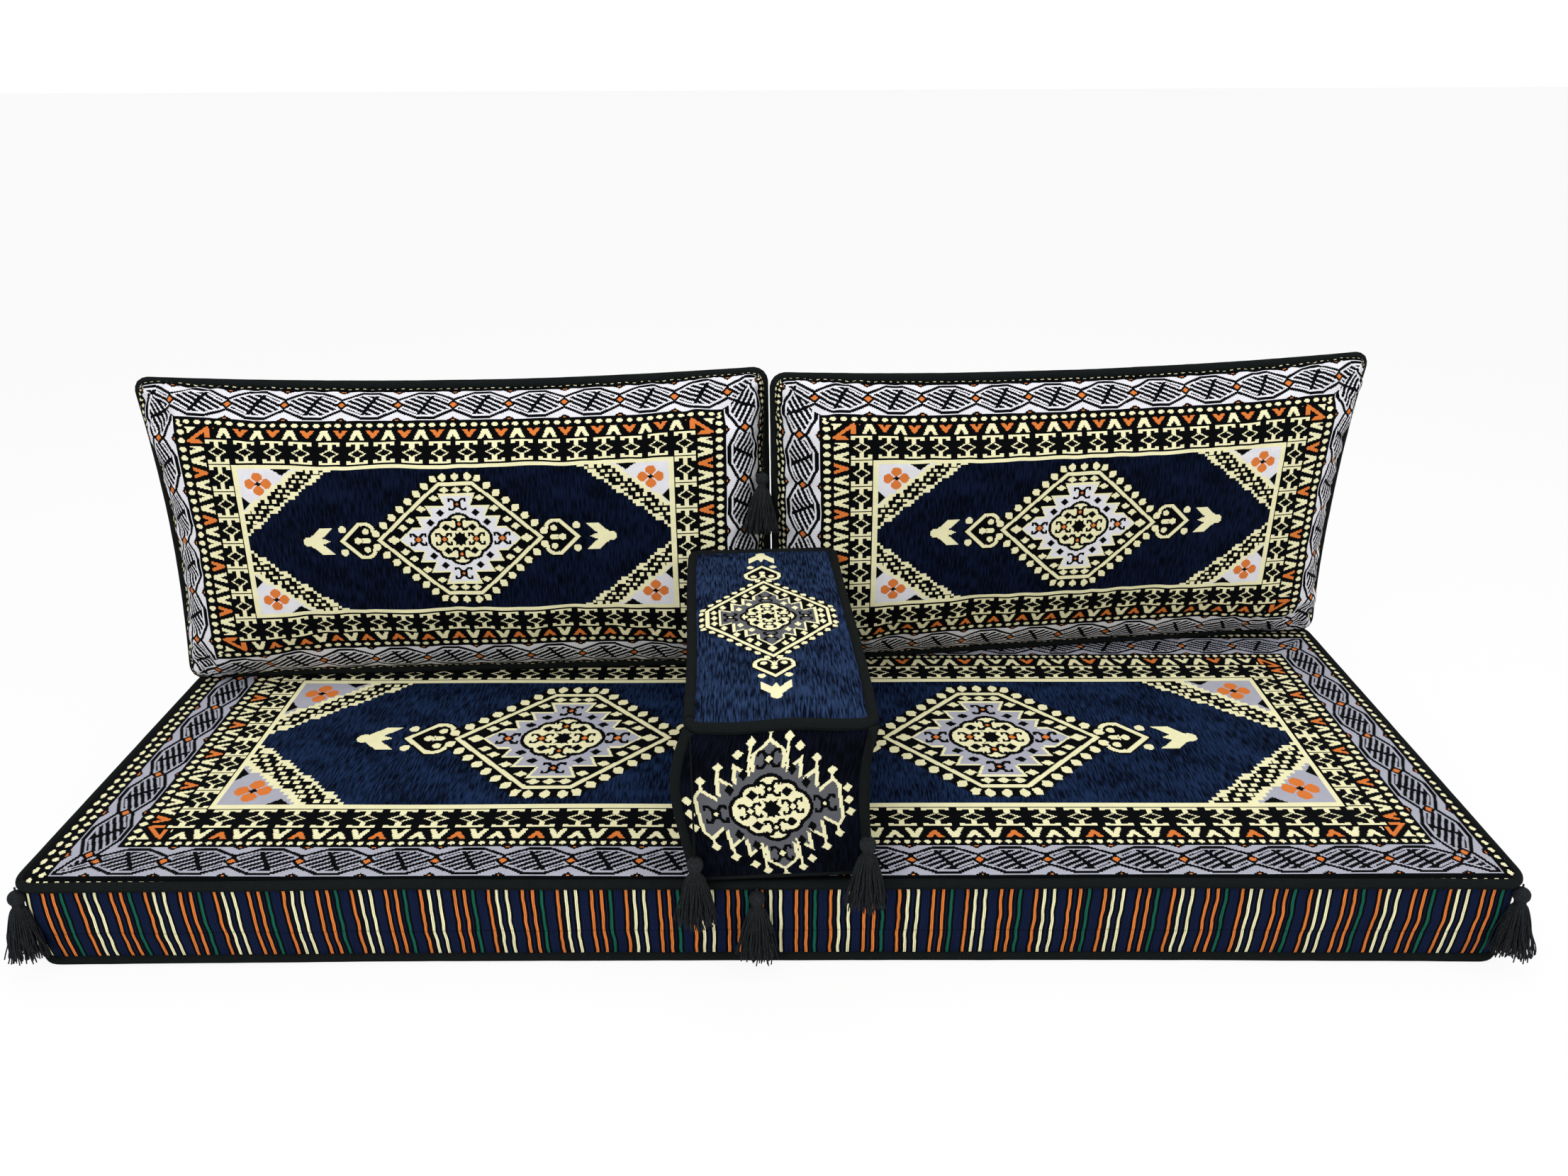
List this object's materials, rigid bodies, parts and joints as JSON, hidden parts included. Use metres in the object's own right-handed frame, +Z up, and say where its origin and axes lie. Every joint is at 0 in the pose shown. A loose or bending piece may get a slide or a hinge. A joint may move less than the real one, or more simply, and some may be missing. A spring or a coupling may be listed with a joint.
{
  "type": "majlis floor sofa",
  "caption": "Floor sofa: a long boxed mattress with knife-edge back cushions and a boxed armrest standing on it, in woven covers with corded seams, zips and hanging tassels.",
  "frame": {"origin": "middle of the mattress's underside, on the floor", "axes": "+X along the mattress's length to the sitter's left as seen from the front, the front faces -Y, +Z up"},
  "size_m": [2.0358, 0.7897, 0.6626],
  "materials": {
    "woven_cover": "navy chenille and flat kilim weave",
    "striped_band": "ribbed navy weave with cream, orange and green stripes",
    "lining": "plain dark navy cotton",
    "piping": "black brushed cord",
    "tassel_yarn": "black viscose yarn",
    "foam": "foam and polyester fibre filling",
    "zip_tape": "black woven tape",
    "zip_teeth": "black nylon coil",
    "zip_metal": "die-cast slider, dull nickel"
  },
  "bodies": {
    "mattress": {"mattress_foam_core": "foam", "mattress_top_panel": "woven_cover", "mattress_bottom_panel": "lining", "mattress_front_band_left": "striped_band", "mattress_front_band_right": "striped_band", "mattress_rear_band_lower": "striped_band", "mattress_rear_band_upper": "striped_band", "mattress_top_piping": "piping", "mattress_bottom_piping": "piping", "mattress_zip_tapes": "zip_tape", "mattress_zip_teeth": "zip_teeth"},
    "armrest": {"armrest_filling": "foam", "armrest_top_panel": "woven_cover", "armrest_front_panel": "woven_cover", "armrest_left_panel": "striped_band", "armrest_right_panel": "striped_band", "armrest_rear_panel": "lining", "armrest_bottom_panel": "lining", "armrest_top_piping": "piping", "armrest_front_piping": "piping", "armrest_zip_tapes": "zip_tape", "armrest_zip_teeth": "zip_teeth"},
    "left_cushion": {"left_cushion_filling": "foam", "left_cushion_front_panel": "woven_cover", "left_cushion_back_panel": "lining", "left_cushion_piping": "piping", "left_cushion_zip_tapes": "zip_tape", "left_cushion_zip_teeth": "zip_teeth"},
    "right_cushion": {"right_cushion_filling": "foam", "right_cushion_front_panel": "woven_cover", "right_cushion_back_panel": "lining", "right_cushion_piping": "piping", "right_cushion_zip_tapes": "zip_tape", "right_cushion_zip_teeth": "zip_teeth"},
    "mattress_zip_slider": {"mattress_zip_slider": "zip_metal"},
    "mattress_zip_pull": {"mattress_zip_pull": "zip_metal"},
    "left_cushion_zip_slider": {"left_cushion_zip_slider": "zip_metal"},
    "left_cushion_zip_pull": {"left_cushion_zip_pull": "zip_metal"},
    "right_cushion_zip_slider": {"right_cushion_zip_slider": "zip_metal"},
    "right_cushion_zip_pull": {"right_cushion_zip_pull": "zip_metal"},
    "armrest_zip_slider": {"armrest_zip_slider": "zip_metal"},
    "armrest_zip_pull": {"armrest_zip_pull": "zip_metal"},
    "front_left_tassel": {"front_left_tassel": "tassel_yarn"},
    "front_middle_tassel": {"front_middle_tassel": "tassel_yarn"},
    "front_right_tassel": {"front_right_tassel": "tassel_yarn"},
    "armrest_left_tassel": {"armrest_left_tassel": "tassel_yarn", "armrest_left_tassel_cord": "tassel_yarn"},
    "armrest_right_tassel": {"armrest_right_tassel": "tassel_yarn", "armrest_right_tassel_cord": "tassel_yarn"},
    "cushion_tassel": {"cushion_tassel": "tassel_yarn", "cushion_tassel_cord": "tassel_yarn"}
  },
  "joints": [
    {"name": "armrest_lift", "type": "slide", "parent": "mattress", "child": "armrest", "axis": [0, 0, 1], "range_m": [0, 0.3]},
    {"name": "left_cushion_lift", "type": "slide", "parent": "mattress", "child": "left_cushion", "axis": [0, 0, 1], "range_m": [0, 0.3]},
    {"name": "right_cushion_lift", "type": "slide", "parent": "mattress", "child": "right_cushion", "axis": [0, 0, 1], "range_m": [0, 0.3]},
    {"name": "mattress_zip_slide", "type": "slide", "parent": "mattress", "child": "mattress_zip_slider", "axis": [1, 0, 0], "range_m": [0, 1.7774]},
    {"name": "mattress_zip_pull_swing", "type": "hinge", "parent": "mattress_zip_slider", "child": "mattress_zip_pull", "pos_m": [-0.8887, 0.3528, 0.0715], "axis": [0, 0, 1], "range_deg": [0, 165]},
    {"name": "left_cushion_zip_slide", "type": "slide", "parent": "left_cushion", "child": "left_cushion_zip_slider", "axis": [-0.9989, -0.0471, 0], "range_m": [0, 0.6174]},
    {"name": "left_cushion_zip_pull_swing", "type": "hinge", "parent": "left_cushion_zip_slider", "child": "left_cushion_zip_pull", "pos_m": [-0.20019, 0.28385, 0.29308], "axis": [0.0066, -0.1407, -0.99], "range_deg": [0, 165]},
    {"name": "right_cushion_zip_slide", "type": "slide", "parent": "right_cushion", "child": "right_cushion_zip_slider", "axis": [-0.9932, -0.1167, 0], "range_m": [0, 0.6174]},
    {"name": "right_cushion_zip_pull_swing", "type": "hinge", "parent": "right_cushion_zip_slider", "child": "right_cushion_zip_pull", "pos_m": [0.80441, 0.37114, 0.29966], "axis": [0.0053, -0.0451, -0.999], "range_deg": [0, 165]},
    {"name": "armrest_zip_slide", "type": "slide", "parent": "armrest", "child": "armrest_zip_slider", "axis": [-0.0558, 0.9984, 0], "range_m": [0, 0.3774]},
    {"name": "armrest_zip_pull_swing", "type": "hinge", "parent": "armrest_zip_slider", "child": "armrest_zip_pull", "pos_m": [-0.10054, -0.28323, 0.2053], "axis": [0, 0, 1], "range_deg": [0, 165]},
    {"name": "front_left_tassel_swing", "type": "hinge", "parent": "mattress", "child": "front_left_tassel", "pos_m": [-0.99788, -0.34788, 0.135], "axis": [-1, 0, 0], "range_deg": [0, 60]},
    {"name": "front_middle_tassel_swing", "type": "hinge", "parent": "mattress", "child": "front_middle_tassel", "pos_m": [-0.014, -0.3526, 0.135], "axis": [-1, 0, 0], "range_deg": [0, 60]},
    {"name": "front_right_tassel_swing", "type": "hinge", "parent": "mattress", "child": "front_right_tassel", "pos_m": [0.99788, -0.34788, 0.135], "axis": [-1, 0, 0], "range_deg": [0, 60]},
    {"name": "armrest_left_tassel_swing", "type": "hinge", "parent": "armrest", "child": "armrest_left_tassel", "pos_m": [-0.09185, -0.35275, 0.3743], "axis": [-1, 0, 0], "range_deg": [0, 60]},
    {"name": "armrest_right_tassel_swing", "type": "hinge", "parent": "armrest", "child": "armrest_right_tassel", "pos_m": [0.12881, -0.34042, 0.3743], "axis": [-1, 0, 0], "range_deg": [0, 60]},
    {"name": "cushion_tassel_swing", "type": "hinge", "parent": "left_cushion", "child": "cushion_tassel", "pos_m": [-0.00827, 0.27506, 0.61783], "axis": [-0.9962, 0.087, 0], "range_deg": [0, 60]}
  ]
}
